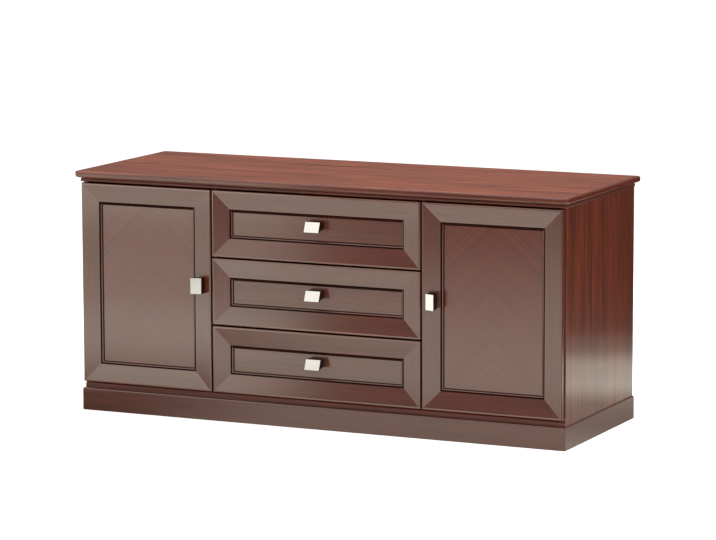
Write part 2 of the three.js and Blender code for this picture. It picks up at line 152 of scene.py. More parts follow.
# Stained veneer under gloss lacquer: deep red-brown, fine pores and soft bands along the grain,
# and a clear coat that mirrors the room.
veneerLook = {
    "pale": "#81371c", "mid": "#662812", "dark": "#4b1a0a", "darkAt": 0.1, "midAt": 0.5, "paleAt": 0.95,
    "bandWidth": 34 * mm, "bandLength": 520 * mm, "bandDetail": 4.0, "bandRoughness": 0.55, "bandBend": 0.6,
    "streakWidth": 0.16, "streakLength": 0.6,   # shares of a band's
    "streakDetail": 3.0, "streakRoughness": 0.6,
    "poreWidth": 1.6 * mm, "poreLength": 60 * mm,   # real pores are finer: drawn so that they show
    "poreDetail": 2.0, "poreBump": 0.05, "poreDepth": 0.2 * mm,
    "bandShare": 0.55, "poreShare": 0.4, "figureLow": 0.72, "figureHigh": 1.22,
    "rippleSize": 90 * mm, "rippleDetail": 1.0, "rippleBump": 0.03, "rippleDepth": 1.0 * mm,
    "baseRoughness": 0.42, "baseIor": 1.45, "coatRoughness": 0.09, "coatIor": 1.9,
}
quarterTurn = math.radians(90)
chevronTurn = math.radians(-43)
grainTurn = {"x": (0, 0, 0), "y": (0, 0, quarterTurn), "z": (0, quarterTurn, 0),
             "chevron": (0, chevronTurn, 0)}


def grainPoint(tree, grain, centre):
    # Object coordinates turned so that X runs along the grain
    place = objectPoint(tree)
    if grain == "chevron":   # folded about the panel's middle line
        moved = addNode(tree, "ShaderNodeVectorMath", {"operation": "SUBTRACT", 1: centre}, {0: place})
        parts = axes(tree, moved.outputs[0])
        place = fed(tree, addNode(tree, "ShaderNodeCombineXYZ"),
                    X=calc(tree, "ABSOLUTE", parts["X"]), Y=parts["Y"], Z=parts["Z"])
    return fed(tree, addNode(tree, "ShaderNodeMapping"), Vector=place, Rotation=grainTurn[grain])


def veneer(name, grain, centre=(0, 0, 0), look=veneerLook, coat=1.0):
    material, tree = newMaterial(name)
    place = grainPoint(tree, grain, centre)

    def alongGrain(length, width):
        return stretched(tree, place, (length, width, width))

    bands = noise(tree, alongGrain(look["bandLength"], look["bandWidth"]), look["bandDetail"],
                  roughness=look["bandRoughness"], bend=look["bandBend"])
    streakLength = look["bandLength"] * look["streakLength"]
    streakWidth = look["bandWidth"] * look["streakWidth"]
    streaks = noise(tree, alongGrain(streakLength, streakWidth), look["streakDetail"],
                    roughness=look["streakRoughness"])
    pores = noise(tree, alongGrain(look["poreLength"], look["poreWidth"]), look["poreDetail"])
    figure = calc(tree, "MULTIPLY_ADD", bands, look["bandShare"], streaks)
    figure = calc(tree, "MULTIPLY_ADD", pores, look["poreShare"], figure)
    colour = ramp(tree, spread(tree, figure, look["figureLow"], look["figureHigh"]), [
        (look["darkAt"], look["dark"]), (look["midAt"], look["mid"]), (look["paleAt"], look["pale"])])
    ripple = noise(tree, objectPoint(tree), look["rippleDetail"], 1 / look["rippleSize"])
    shader = addNode(tree, "ShaderNodeBsdfPrincipled", {
        "Roughness": look["baseRoughness"], "IOR": look["baseIor"],
        "Coat Weight": coat, "Coat Roughness": look["coatRoughness"], "Coat IOR": look["coatIor"]}, {
        "Base Color": colour,
        "Normal": bump(tree, pores, look["poreBump"], look["poreDepth"]),
        "Coat Normal": bump(tree, ripple, look["rippleBump"], look["rippleDepth"])})
    return surfaced(material, shader.outputs[0])


# Fronts: picked leaves with a quiet figure, so that the lacquer's sheen leads.
frontLook = dict(veneerLook, pale="#60291a", mid="#592617", dark="#502112", coatRoughness=0.15)
veneerAcross = veneer("Lacquered quiet veneer, grain across", "x", look=frontLook)
veneerUpright = veneer("Lacquered quiet veneer, grain upright", "z", look=frontLook)
veneerDeep = veneer("Lacquered quiet veneer, grain front to back", "y", look=frontLook)
# Sides: livelier leaves, red streaks running up and down.
sideLook = dict(veneerLook, pale="#80351b", mid="#602511", dark="#411609")
veneerSide = veneer("Lacquered striped veneer, grain upright", "z", look=sideLook)

# Painted shade in the quirks, corners and gaps: almost black red-brown, matt, it draws the lines round the
# panels.
paintedShadeLook = dict(veneerLook, pale="#3a140a", mid="#2b0f07", dark="#1f0a04", baseRoughness=0.7, baseIor=1.15)
paintedShade = veneer("Painted shade in the quirks and gaps", "x", look=paintedShadeLook, coat=0.0)
# Painted highlight on the edges: paler wood, a thin light line round every front.
edgeHighlightLook = dict(veneerLook, pale="#764a38", mid="#6d402f", dark="#623726")
edgeHighlightAcross = veneer("Painted highlight on veneer edge, grain across", "x", look=edgeHighlightLook)

# The top is the same veneer, rubbed to a softer sheen and a shade lighter.
topLook = dict(veneerLook, pale="#a2553a", mid="#743a24", dark="#4e2011", coatRoughness=0.16, coatIor=1.5)
veneerTop = veneer("Rubbed veneer, grain across", "x", look=topLook, coat=0.5)
# Its moulded edge is stained darker than the flat and polished.
edgeLook = dict(veneerLook, pale="#6b2d1a", mid="#5d2413", dark="#4a190b", coatIor=1.58)
edgeAcross = veneer("Polished edge moulding, grain across", "x", look=edgeLook)
edgeDeep = veneer("Polished edge moulding, grain front to back", "y", look=edgeLook)
# Boards in the shadow of the top and the doors are only oiled: dark red, with little of the room in them.
oiledLook = dict(edgeLook, pale="#63281a", mid="#552012", dark="#44170b", coatIor=1.3, coatRoughness=0.2)
oiledAcross = veneer("Oiled edge moulding, grain across", "x", look=oiledLook)

# Plain dark veneer inside the cupboards: the same stain, satin, with a thin coat.
liningLook = dict(veneerLook, pale="#7c4630", mid="#6e3b27", dark="#5c2f1e", coatRoughness=0.3, coatIor=1.5)
liningCoat = 0.25
liningUpright = veneer("Satin dark veneer, grain upright", "z", look=liningLook, coat=liningCoat)
liningDeep = veneer("Satin dark veneer, grain front to back", "y", look=liningLook, coat=liningCoat)
liningAcross = veneer("Satin dark veneer, grain across", "x", look=liningLook, coat=liningCoat)

# Birch plywood of the drawer boxes: pale straw, faint curl, sealed but not glossy.
birchLook = dict(veneerLook, pale="#dcc29a", mid="#cfb083", dark="#b8946a", coatRoughness=0.35,
                 bandWidth=60 * mm, poreWidth=2.4 * mm, baseRoughness=0.55)
birchCoat = 0.15
birchAcross = veneer("Sealed birch plywood, grain across", "x", look=birchLook, coat=birchCoat)
birchDeep = veneer("Sealed birch plywood, grain front to back", "y", look=birchLook, coat=birchCoat)

# Hardboard of the back: brown, matt, flecked with fibres and faintly clouded.
fibreLook = {"stops": [(0.45, "#543522"), (0.75, "#6b4630"), (1.0, "#80583d")], "roughness": 0.68,
             "fleckSize": 3 * mm, "fleckDetail": 4.0, "fleckBump": 0.12, "fleckDepth": 0.2 * mm,
             "cloudSize": 140 * mm, "cloudDetail": 2.0, "cloudShare": 0.5}


def pressedFibre(name, look):
    material, tree = newMaterial(name)
    place = objectPoint(tree)
    flecks = noise(tree, place, look["fleckDetail"], 1 / look["fleckSize"])
    cloud = noise(tree, place, look["cloudDetail"], 1 / look["cloudSize"])
    fibres = calc(tree, "MULTIPLY_ADD", cloud, look["cloudShare"], flecks)
    shader = addNode(tree, "ShaderNodeBsdfPrincipled", {"Roughness": look["roughness"]}, {
        "Base Color": ramp(tree, fibres, look["stops"]),
        "Normal": bump(tree, flecks, look["fleckBump"], look["fleckDepth"])})
    return surfaced(material, shader.outputs[0])


backBoard = pressedFibre("Hardboard, pressed", fibreLook)

metalLook = {"detail": 3.0, "darkAt": 0.3, "paleAt": 0.7, "smoother": 0.05, "rougher": 0.07,
             "bump": 0.05, "depth": 0.05 * mm, "bare": 1.0}


def metal(name, look, axis):
    material, tree = newMaterial(name)
    sizes = [look["streakWidth"]] * 3
    sizes["xyz".index(axis)] = look["streakLength"]
    streaks = noise(tree, stretched(tree, objectPoint(tree), sizes), look["detail"])
    smoothest, roughest = look["roughness"] - look["smoother"], look["roughness"] + look["rougher"]
    shader = addNode(tree, "ShaderNodeBsdfPrincipled", {"Metallic": look["bare"]}, {
        "Base Color": ramp(tree, streaks, [(look["darkAt"], look["dark"]), (look["paleAt"], look["pale"])]),
        "Roughness": spread(tree, streaks, 0.0, 1.0, smoothest, roughest),
        "Normal": bump(tree, streaks, look["bump"], look["depth"])})
    return surfaced(material, shader.outputs[0])


# Satin nickel on zinc castings: warm white, softly streaked along the knob.
nickelLook = dict(metalLook, pale="#fffafc", dark="#f4eff1", roughness=0.24, streakLength=30 * mm,
                  streakWidth=1.2 * mm)
nickelAcross = metal("Satin nickel on cast zinc, brushed across", nickelLook, "x")
nickelUpright = metal("Satin nickel on cast zinc, brushed upright", nickelLook, "z")
# Painted shade on the sides of the knobs: a dark brown metal that sets off the pale face.
knobShadeLook = dict(metalLook, pale="#4a3c36", dark="#352a26", roughness=0.36, streakLength=12 * mm,
                     streakWidth=2 * mm)
shadedKnobNickel = metal("Nickel with painted shade, knob sides", knobShadeLook, "y")
# Zinc-plated pressed steel of hinges and slides: bluish, faintly clouded along the rolling.
# Its passivated film scatters light, so it is only part metallic and stays pale in a dark cupboard.
zincLook = dict(metalLook, pale="#d9dde0", dark="#bcc2c7", roughness=0.45, streakLength=40 * mm,
                streakWidth=5 * mm, bare=0.65)
zincSteel = metal("Zinc-plated rolled steel", zincLook, "y")
# Recesses and drilled holes, where no light reaches: a dull near-black.
recessLook = dict(metalLook, pale="#2c2b2a", dark="#1d1c1b", roughness=0.6, streakLength=4 * mm,
                  streakWidth=2 * mm)
darkRecess = metal("Unlit recess in plated steel", recessLook, "z")
print("materials made")


def middleOf(node):
    low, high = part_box(node)
    return [(a + b) / 2 for a, b in zip(low, high)]


# Mitred frame: distances in from its outer edge, and how far a face has to lean to count
frameLook = {"rim": 5.4 * mm, "quirkFrom": 56.9 * mm, "quirkTo": 61.4 * mm, "sight": 64.4 * mm,
             "gapDepth": 3 * mm, "gapLean": 0.6, "beadLean": -0.2, "panelShadeBorder": 10.2 * mm}


def memberOf(boxLow, boxHigh, face):
    # A face of a mitred frame is on a rail (0), on a stile (1), in painted shade (2) in the quirk, under the
    # bead or on the edge in the gap, or on a rail's lip with a painted highlight (3)
    middle = face.calc_center_median()
    fromSide = min(middle.x - boxLow.x, boxHigh.x - middle.x)
    fromEnd = min(middle.z - boxLow.z, boxHigh.z - middle.z)
    inset = min(fromSide, fromEnd)
    inQuirk = frameLook["quirkFrom"] < inset < frameLook["quirkTo"] or inset > frameLook["sight"]
    underBead = inset > frameLook["quirkTo"] and face.normal.z < frameLook["beadLean"]
    onEdge = inset < frameLook["rim"]
    nearFront = middle.y - boxLow.y < frameLook["gapDepth"]
    inGap = onEdge and nearFront and abs(face.normal.y) < frameLook["gapLean"]
    # the quirk, the bead's downward faces and the edges in the gap get painted shade
    if inQuirk or underBead or inGap:
        return 2
    if fromSide < fromEnd:
        return 1
    # a rail's outer lip facing the front takes the painted highlight
    return 3 if onEdge and face.normal.y < 0 else 0


leanOf = {"crossWall": 0.7, "knobFace": 0.6, "flat": 0.9}   # of a face's normal, to count as this


def wallOf(boxLow, boxHigh, face):
    # A face of a drawer box runs front to back (0) or across (1)
    return 1 if abs(face.normal.y) > leanOf["crossWall"] else 0


def knobSide(boxLow, boxHigh, face):
    # A knob's satin face (0) or its sides and foot in painted shade (1)
    return 0 if face.normal.y < -leanOf["knobFace"] else 1


def edgeBanded(boxLow, boxHigh, face):
    # A face of the top is on its flat (0), on its long edges (1) or on its ends (2)
    if abs(face.normal.z) > leanOf["flat"]:
        return 0
    return 2 if abs(face.normal.x) > abs(face.normal.y) else 1


finishLook = {"weld": 0.01 * mm, "flat": math.radians(0.5), "sharp": math.radians(32),
              "lipFrom": math.radians(5), "lipTo": math.radians(12), "profile": 0.5}


def dressed(node, materials, bevel=0.0, segments=2, sorting=None, border=0.0):
    # A finished copy of a CAD node: welded, flat faces made whole, edges eased, shaded smooth
    source = frame["nodes"][node]
    mesh = bpy.data.meshes.new(node + "_finish")
    shape = bmesh.new()
    shape.from_mesh(source.data)
    bmesh.ops.remove_doubles(shape, verts=shape.verts, dist=finishLook["weld"])
    low, high = (Vector(corner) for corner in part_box(node))
    if sorting:
        for face in shape.faces:
            face.material_index = sorting(low, high, face)
    bmesh.ops.dissolve_limit(shape, angle_limit=finishLook["flat"], verts=shape.verts, edges=shape.edges,
                             delimit={"MATERIAL"} if sorting else set())
    if border:   # a rim of the second material round the front face; the panels use it for painted shade
        front = [face for face in shape.faces if face.normal.y < -leanOf["flat"]]
        rim = bmesh.ops.inset_region(shape, faces=front, thickness=border, use_even_offset=True)["faces"]
        for face in rim:
            face.material_index = 1
    if bevel:
        edges = [edge for edge in shape.edges
                 if len(edge.link_faces) == 2 and edge.calc_face_angle() > finishLook["sharp"]]
        bmesh.ops.bevel(shape, geom=edges, offset=bevel, offset_type="OFFSET", segments=segments,
                        profile=finishLook["profile"], affect="EDGES", clamp_overlap=True, material=-1)
    for face in shape.faces:
        face.smooth = True
    for edge in shape.edges:
        faces = edge.link_faces
        if len(faces) != 2 or edge.calc_face_angle() > finishLook["sharp"]:
            edge.smooth = False
        elif sorting is memberOf:   # mitres, and the line where the flat lip meets the slope
            onLip = finishLook["lipFrom"] < edge.calc_face_angle() < finishLook["lipTo"]
            if onLip or faces[0].material_index != faces[1].material_index:
                edge.smooth = False
    shape.to_mesh(mesh)
    shape.free()
    for material in materials:
        mesh.materials.append(material)
    piece = bpy.data.objects.new(node + "_finish", mesh)
    bpy.context.scene.collection.objects.link(piece)
    weighted = piece.modifiers.new("even shading", "WEIGHTED_NORMAL")
    weighted.keep_sharp = True
    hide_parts(node)
    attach(piece, bodyOf[node])


# Carcass and plinth
boardEdge = {"board": 0.6 * mm, "shelf": 1.2 * mm, "plinth": 0.5 * mm, "back": 0.4 * mm}
dressed("top_panel", [veneerTop, edgeAcross, edgeDeep], sorting=edgeBanded)
dressed("under_top_panel", [oiledAcross])
for side in sides:
    dressed(side + "_side_panel", [veneerSide], boardEdge["board"])
    dressed(side + "_divider", [liningUpright], boardEdge["board"])
    dressed(side + "_shelf", [liningAcross], boardEdge["shelf"])
    dressed(side + "_plinth_side", [veneerDeep], boardEdge["plinth"])
    dressed(side + "_plinth_stretcher", [liningDeep], boardEdge["plinth"])
dressed("bottom_panel", [oiledAcross])
dressed("back_panel", [backBoard], boardEdge["back"])
dressed("plinth_front", [veneerAcross], boardEdge["plinth"])
dressed("plinth_back", [liningAcross], boardEdge["plinth"])
print("carcass dressed")

# Doors and drawers
frontEdge = {"knob": 0.9 * mm, "knobSegments": 3, "hinge": 0.25 * mm, "slide": 0.2 * mm,
             "box": 0.6 * mm, "boxBottom": 0.3 * mm}
# a frame's materials: rail veneer, stile veneer, painted shade, painted highlight on the lip
frontVeneers = [veneerAcross, veneerUpright, paintedShade, edgeHighlightAcross]
chevronLook = dict(frontLook, pale="#662816", mid="#5e2413", dark="#551f10")
for side in sides:
    chevron = veneer("Book-matched chevron veneer, " + side + " door", "chevron",
                     middleOf(side + "_door_panel"), chevronLook)
    dressed(side + "_door_frame", frontVeneers, sorting=memberOf)
    # the panel's outer rim, next to the frame, in painted shade
    dressed(side + "_door_panel", [chevron, paintedShade], border=frameLook["panelShadeBorder"])
    dressed(side + "_door_knob", [nickelUpright, shadedKnobNickel], frontEdge["knob"],
            segments=frontEdge["knobSegments"], sorting=knobSide)
    for level in ("lower", "upper"):
        dressed(side + "_" + level + "_hinge_cup", [zincSteel], frontEdge["hinge"])
        dressed(side + "_" + level + "_hinge_arm", [zincSteel], frontEdge["hinge"])
for level in levels:
    dressed(level + "_drawer_frame", frontVeneers, sorting=memberOf)
    dressed(level + "_drawer_panel", [veneerAcross, paintedShade], border=frameLook["panelShadeBorder"])
    dressed(level + "_drawer_knob", [nickelAcross, shadedKnobNickel], frontEdge["knob"],
            segments=frontEdge["knobSegments"], sorting=knobSide)
    dressed(level + "_drawer_box", [birchDeep, birchAcross], frontEdge["box"], sorting=wallOf)
    dressed(level + "_drawer_bottom", [birchAcross], frontEdge["boxBottom"])
    for side in sides:
        dressed(side + "_" + level + "_drawer_slide", [zincSteel], frontEdge["slide"])
        dressed(side + "_" + level + "_cabinet_slide", [zincSteel], frontEdge["slide"])
print("fronts, fittings and drawers dressed")

# The cross of a screw is a raised bar in painted shade, standing for the recess: it stands out enough to be
# seen, too little to feel
headLook = {"sides": 20, "crossProud": 0.04 * mm}


def namedInput(tree, name, kind, value=None):
    socket = tree.interface.new_socket(name, in_out="INPUT", socket_type=kind)
    if value is not None:
        socket.default_value = value


def joined(tree, parts):
    node = addNode(tree, "GeometryNodeJoinGeometry")
    for part in parts:
        tree.links.new(part, node.inputs[0])
    return node.outputs[0]


def raised(tree, shape, height):
    lift = fed(tree, addNode(tree, "ShaderNodeCombineXYZ"), Z=height)
    return addNode(tree, "GeometryNodeTransform", {}, {"Geometry": shape, "Translation": lift}).outputs[0]


def headTree(name, materials):
    # Points with a "facing" direction become round heads with a raised cross in painted shade for the recess,
    # each turned by its own angle
    tree = bpy.data.node_groups.new(name, "GeometryNodeTree")
    namedInput(tree, "Points", "NodeSocketGeometry")
    for label in ("Head radius", "Head height", "Recess length", "Recess width"):
        namedInput(tree, label, "NodeSocketFloat", 1 * mm)
    namedInput(tree, "Seed", "NodeSocketInt", 1)
    tree.interface.new_socket("Heads", in_out="OUTPUT", socket_type="NodeSocketGeometry")
    given = addNode(tree, "NodeGroupInput").outputs
    head = addNode(tree, "GeometryNodeMeshCylinder", {"Vertices": headLook["sides"]}, {
        "Radius": given["Head radius"], "Depth": given["Head height"]})
    bars = []
    for wide, high in (("Recess length", "Recess width"), ("Recess width", "Recess length")):
        size = fed(tree, addNode(tree, "ShaderNodeCombineXYZ"),
                   X=given[wide], Y=given[high], Z=given["Head height"])
        bars.append(addNode(tree, "GeometryNodeMeshCube", {}, {"Size": size}).outputs["Mesh"])
    cross = raised(tree, joined(tree, bars), headLook["crossProud"])
    marked = addNode(tree, "GeometryNodeStoreNamedAttribute", {
        "data_type": "BOOLEAN", "domain": "FACE", "Name": "recess", "Value": True}, {"Geometry": cross})
    whole = joined(tree, (head.outputs["Mesh"], marked.outputs[0]))
    seated = raised(tree, whole, calc(tree, "MULTIPLY", given["Head height"], 0.5))
    facing = addNode(tree, "GeometryNodeInputNamedAttribute", {"data_type": "FLOAT_VECTOR", "Name": "facing"})
    aimed = addNode(tree, "FunctionNodeAlignRotationToVector", {"axis": "Z"}, {
        "Vector": facing.outputs["Attribute"]})
    angle = addNode(tree, "FunctionNodeRandomValue", {"data_type": "FLOAT", 3: math.pi}, {
        "Seed": given["Seed"]})
    twist = addNode(tree, "FunctionNodeAxisAngleToRotation", {"Axis": (0, 0, 1)}, {"Angle": angle.outputs[1]})
    turned = addNode(tree, "FunctionNodeRotateRotation", {"rotation_space": "LOCAL"}, {
        "Rotation": aimed.outputs[0], "Rotate By": twist.outputs[0]})
    placed = addNode(tree, "GeometryNodeInstanceOnPoints", {}, {
        "Points": given["Points"], "Instance": seated, "Rotation": turned.outputs[0]})
    real = addNode(tree, "GeometryNodeRealizeInstances", {}, {"Geometry": placed.outputs[0]})
    plain = addNode(tree, "GeometryNodeSetMaterial", {"Material": materials[0]}, {
        "Geometry": real.outputs[0]})
    # the cross's faces take the second material: painted shade for the recess
    recess = addNode(tree, "GeometryNodeInputNamedAttribute", {"data_type": "BOOLEAN", "Name": "recess"})
    dark = addNode(tree, "GeometryNodeSetMaterial", {"Material": materials[1]}, {
        "Geometry": plain.outputs[0], "Selection": recess.outputs["Attribute"]})
    addNode(tree, "NodeGroupOutput", {}, {"Heads": dark.outputs[0]})
    return tree


def repeated(name, tree, settings, body, places):
    # One plain mesh of everything the tree makes at the given (point, facing) pairs
    mesh = bpy.data.meshes.new(name + "_points")
    mesh.from_pydata([point for point, facing in places], [], [])
    facings = mesh.attributes.new("facing", "FLOAT_VECTOR", "POINT")
    for item, (point, facing) in zip(facings.data, places):
        item.vector = facing
    source = bpy.data.objects.new(name + "_points", mesh)
    bpy.context.scene.collection.objects.link(source)
    maker = source.modifiers.new("heads", "NODES")
    maker.node_group = tree
    for socket in tree.interface.items_tree:
        if socket.in_out == "INPUT" and socket.name in settings:
            maker[socket.identifier] = settings[socket.name]
    made = source.evaluated_get(bpy.context.evaluated_depsgraph_get())
    piece = bpy.data.objects.new(name, bpy.data.meshes.new_from_object(made))
    source.modifiers.remove(maker)
    bpy.data.objects.remove(source)
    bpy.context.scene.collection.objects.link(piece)
    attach(piece, body)


def headSizes(radius, height, recessLength, recessWidth, seed):
    return {"Head radius": radius * mm, "Head height": height * mm, "Recess length": recessLength * mm,
            "Recess width": recessWidth * mm, "Seed": seed}


# Fixings: screws, shelf pins, pin holes and panel pins, in millimetres
screwTree = headTree("cross-recess heads", [zincSteel, darkRecess])
holeTree = headTree("hole shade discs", [darkRecess, darkRecess])
panScrew = headSizes(3.0, 1.1, 3.6, 0.9, 7)
flatScrew = headSizes(3.0, 0.5, 3.6, 0.9, 11)
panelPin = headSizes(2.2, 0.4, 0.9, 0.9, 3)
shelfPin = headSizes(2.5, 7.5, 1.0, 0.9, 5)
pinHole = headSizes(2.5, 0.05, 3.2, 3.2, 2)

hingeScrews = {"armBack": (9 * mm, 31 * mm), "cupShift": 2.5 * mm, "cupRise": (-21.5 * mm, 21.5 * mm)}
slideScrews = {"web": 1.2 * mm, "along": (35 * mm, 230 * mm, 440 * mm)}
armPlaces, cupPlaces, railPlaces = [], {"left": [], "right": []}, []
for side, way in sides.items():
    for level in ("lower", "upper"):
        arm, cup = side + "_" + level + "_hinge_arm", side + "_" + level + "_hinge_cup"
        low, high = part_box(arm)
        inner = high[0] if way > 0 else low[0]
        armPlaces += [((inner, high[1] - back, middleOf(arm)[2]), (way, 0, 0))
                      for back in hingeScrews["armBack"]]
        middle, rear = middleOf(cup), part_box(cup)[1][1]
        cupPlaces[side] += [((middle[0] + way * hingeScrews["cupShift"], rear, middle[2] + rise), (0, 1, 0))
                            for rise in hingeScrews["cupRise"]]
    for level in levels:
        low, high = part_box(side + "_" + level + "_cabinet_slide")
        web = low[0] + slideScrews["web"] if way > 0 else high[0] - slideScrews["web"]
        railPlaces += [((web, low[1] + along, (low[2] + high[2]) / 2), (way, 0, 0))
                       for along in slideScrews["along"]]
repeated("hinge_arm_screws", screwTree, panScrew, "cabinet", armPlaces)
repeated("slide_screws", screwTree, flatScrew, "cabinet", railPlaces)
for side in sides:
    repeated(side + "_cup_screws", screwTree, flatScrew, side + "_door", cupPlaces[side])

# Screws through each box into its front
frontScrews = {"wall": 14 * mm, "fromMiddle": 220 * mm, "fromFoot": 45 * mm, "fromHead": 30 * mm}
for level in levels:
    low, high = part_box(level + "_drawer_box")
    inside = low[1] + frontScrews["wall"]
    heights = (low[2] + frontScrews["fromFoot"], high[2] - frontScrews["fromHead"])
    places = [((x, inside, z), (0, 1, 0))
              for x in (-frontScrews["fromMiddle"], frontScrews["fromMiddle"]) for z in heights]
    repeated(level + "_front_screws", screwTree, panScrew, level + "_drawer", places)
print("screws placed")

# Adjustable shelves: a pin under each corner, and the two rows of holes in every wall, drawn as thin discs of
# painted shade
pinLook = {"gap": 0.45 * mm, "inset": 60 * mm, "drop": 2.55 * mm, "pitch": 32 * mm,
           "steps": (-4, -3, -2, -1, 2, 3, 4)}
pinPlaces, holePlaces = [], []
for side in sides:
    low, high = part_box(side + "_shelf")
    height = low[2] - pinLook["drop"]
    for x, way in ((low[0] - pinLook["gap"], 1), (high[0] + pinLook["gap"], -1)):
        for y in (low[1] + pinLook["inset"], high[1] - pinLook["inset"]):
            pinPlaces.append(((x, y, height), (way, 0, 0)))
            holePlaces += [((x, y, height + step * pinLook["pitch"]), (way, 0, 0))
                           for step in pinLook["steps"]]
repeated("shelf_pins", screwTree, shelfPin, "cabinet", pinPlaces)
repeated("pin_holes", holeTree, pinHole, "cabinet", holePlaces)

# Panel pins round the back
nailLook = {"edge": 8 * mm, "end": 30 * mm, "across": 12, "up": 5}   # across and up: number of spaces
low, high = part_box("back_panel")
start, run, tall = low[0] + nailLook["end"], high[0] - low[0] - 2 * nailLook["end"], high[2] - low[2]
nailPlaces = [((start + run * i / nailLook["across"], high[1], z), (0, 1, 0))
              for z in (low[2] + nailLook["edge"], high[2] - nailLook["edge"])
              for i in range(nailLook["across"] + 1)]
nailPlaces += [((x, high[1], low[2] + tall * i / nailLook["up"]), (0, 1, 0)) for i in range(1, nailLook["up"])
               for x in (low[0] + nailLook["edge"], high[0] - nailLook["edge"])]
repeated("back_panel_pins", screwTree, panelPin, "cabinet", nailPlaces)
print("pins and holes placed")

# Stage: a pale floor, a white card and a soft box at the front left, a low veil of cloth, soft lamps
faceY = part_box("left_door_frame")[0][1]
mirrorColour = "#fcffee"


def plane(name, corners, material):
    mesh = bpy.data.meshes.new(name)
    mesh.from_pydata(corners, [], [tuple(range(len(corners)))])
    mesh.materials.append(material)
    made = bpy.data.objects.new(name, mesh)
    bpy.context.scene.collection.objects.link(made)
    return made


def upright(name, look, material):
    (left, right), (foot, head), y = look["x"], look["z"], look["y"]
    return plane(name, [(left, y, foot), (right, y, foot), (right, y, head), (left, y, head)], material)


def mixed(tree, share, first, second):
    return addNode(tree, "ShaderNodeMixShader", {}, {0: share, 1: first, 2: second}).outputs[0]


def added(tree, first, second):
    return addNode(tree, "ShaderNodeAddShader", {}, {0: first, 1: second}).outputs[0]


def glow(tree, strength, colour=mirrorColour):
    return fed(tree, addNode(tree, "ShaderNodeEmission"), Color=linear(colour), Strength=strength)


def isRay(tree, kind):
    return addNode(tree, "ShaderNodeLightPath").outputs["Is " + kind + " Ray"]


def clear(tree):
    return addNode(tree, "ShaderNodeBsdfTransparent").outputs[0]


def measured(tree, operation, place, other):
    node = addNode(tree, "ShaderNodeVectorMath", {"operation": operation, 1: other}, {0: place})
    return node.outputs["Value"]


def apartFrom(tree, source, level):
    return calc(tree, "ABSOLUTE", calc(tree, "SUBTRACT", source, level))


floorLook = {
    "half": 40.0, "paint": "#f4f3f1", "glow": 0.62,
    "frontWay": (0, -1, 0), "frontFrom": 1.4, "frontTo": 5.0, "frontDim": 0.05,
    "rearWay": (0.5, 0.87, 0), "rearFrom": -0.5, "rearTo": 2.5,
    "rearStops": [(0.17, "#e2e2e2"), (0.37, "#a4a4a4"), (0.45, "#acacac"), (0.57, "#ffffff"),
                  (0.67, "#d8d8d8"), (0.82, "#6c6c6c"), (0.95, "#202020")],
    "plinthHalf": (0.81, 0.29), "marginFrom": 0.2, "marginTo": 0.95, "marginOut": 1.5,
    "leftFrom": -0.85, "leftTo": -0.1, "leftDim": 0.12, "leftFull": 0.9,
    "secondAt": (0.5, -2.8, 0), "secondFrom": 0.3, "secondTo": 1.1, "secondGlow": 1.4,
}


def floorPaint(look):
    material, tree = newMaterial("Pale studio floor")
    place = objectPoint(tree)
    # what polished wood mirrors: the light pool ends softly at the front and behind the right side
    toFront = measured(tree, "DOT_PRODUCT", place, look["frontWay"])
    frontEnd = eased(tree, toFront, look["frontFrom"], look["frontTo"], 1.0, look["frontDim"])
    toRear = measured(tree, "DOT_PRODUCT", place, look["rearWay"])
    rearPlace = spread(tree, toRear, look["rearFrom"], look["rearTo"])
    pool = calc(tree, "MULTIPLY", frontEnd, ramp(tree, rearPlace, look["rearStops"], "EASE"))
    # painted shadow: the floor's dimmer margin round the plinth, as mirrored in the lacquer, dimmest at the
    # front left
    parts = axes(tree, place)
    wide, deep = (calc(tree, "SUBTRACT", calc(tree, "ABSOLUTE", parts[axis]), half)
                  for axis, half in zip("XY", look["plinthHalf"]))
    leftDim = eased(tree, parts["X"], look["leftFrom"], look["leftTo"], look["leftDim"], look["leftFull"])
    margin = eased(tree, calc(tree, "MAXIMUM", wide, deep), look["marginFrom"], look["marginTo"],
                   leftDim, look["marginOut"])
    pool = calc(tree, "MULTIPLY", pool, margin)
    # a second pool at the front right, which only the left door's knob looks into
    beside = measured(tree, "DISTANCE", place, look["secondAt"])
    second = eased(tree, beside, look["secondFrom"], look["secondTo"], look["secondGlow"], 0.0)
    mirrored = glow(tree, calc(tree, "MAXIMUM", pool, second))
    matt = fed(tree, addNode(tree, "ShaderNodeBsdfDiffuse"), Color=linear(look["paint"]))
    plain = mixed(tree, isRay(tree, "Camera"), matt, added(tree, matt, glow(tree, look["glow"], "#ffffff")))
    return surfaced(material, mixed(tree, isRay(tree, "Glossy"), plain, mirrored))


half = floorLook["half"]
floor = plane("studio_floor", [(-half, -half, 0), (half, -half, 0), (half, half, 0), (-half, half, 0)],
              floorPaint(floorLook))

cardLook = {"x": (-5.5, -0.72), "y": faceY - 1.8, "z": (0.0, 2.6), "fade": 0.4, "glow": 1.02,
            "stripAt": 0.46, "stripFrom": 0.06, "stripTo": 0.17, "stripGlow": 1.7,
            "bandAt": 0.29, "bandFrom": 0.03, "bandTo": 0.14, "bandDim": 0.72}


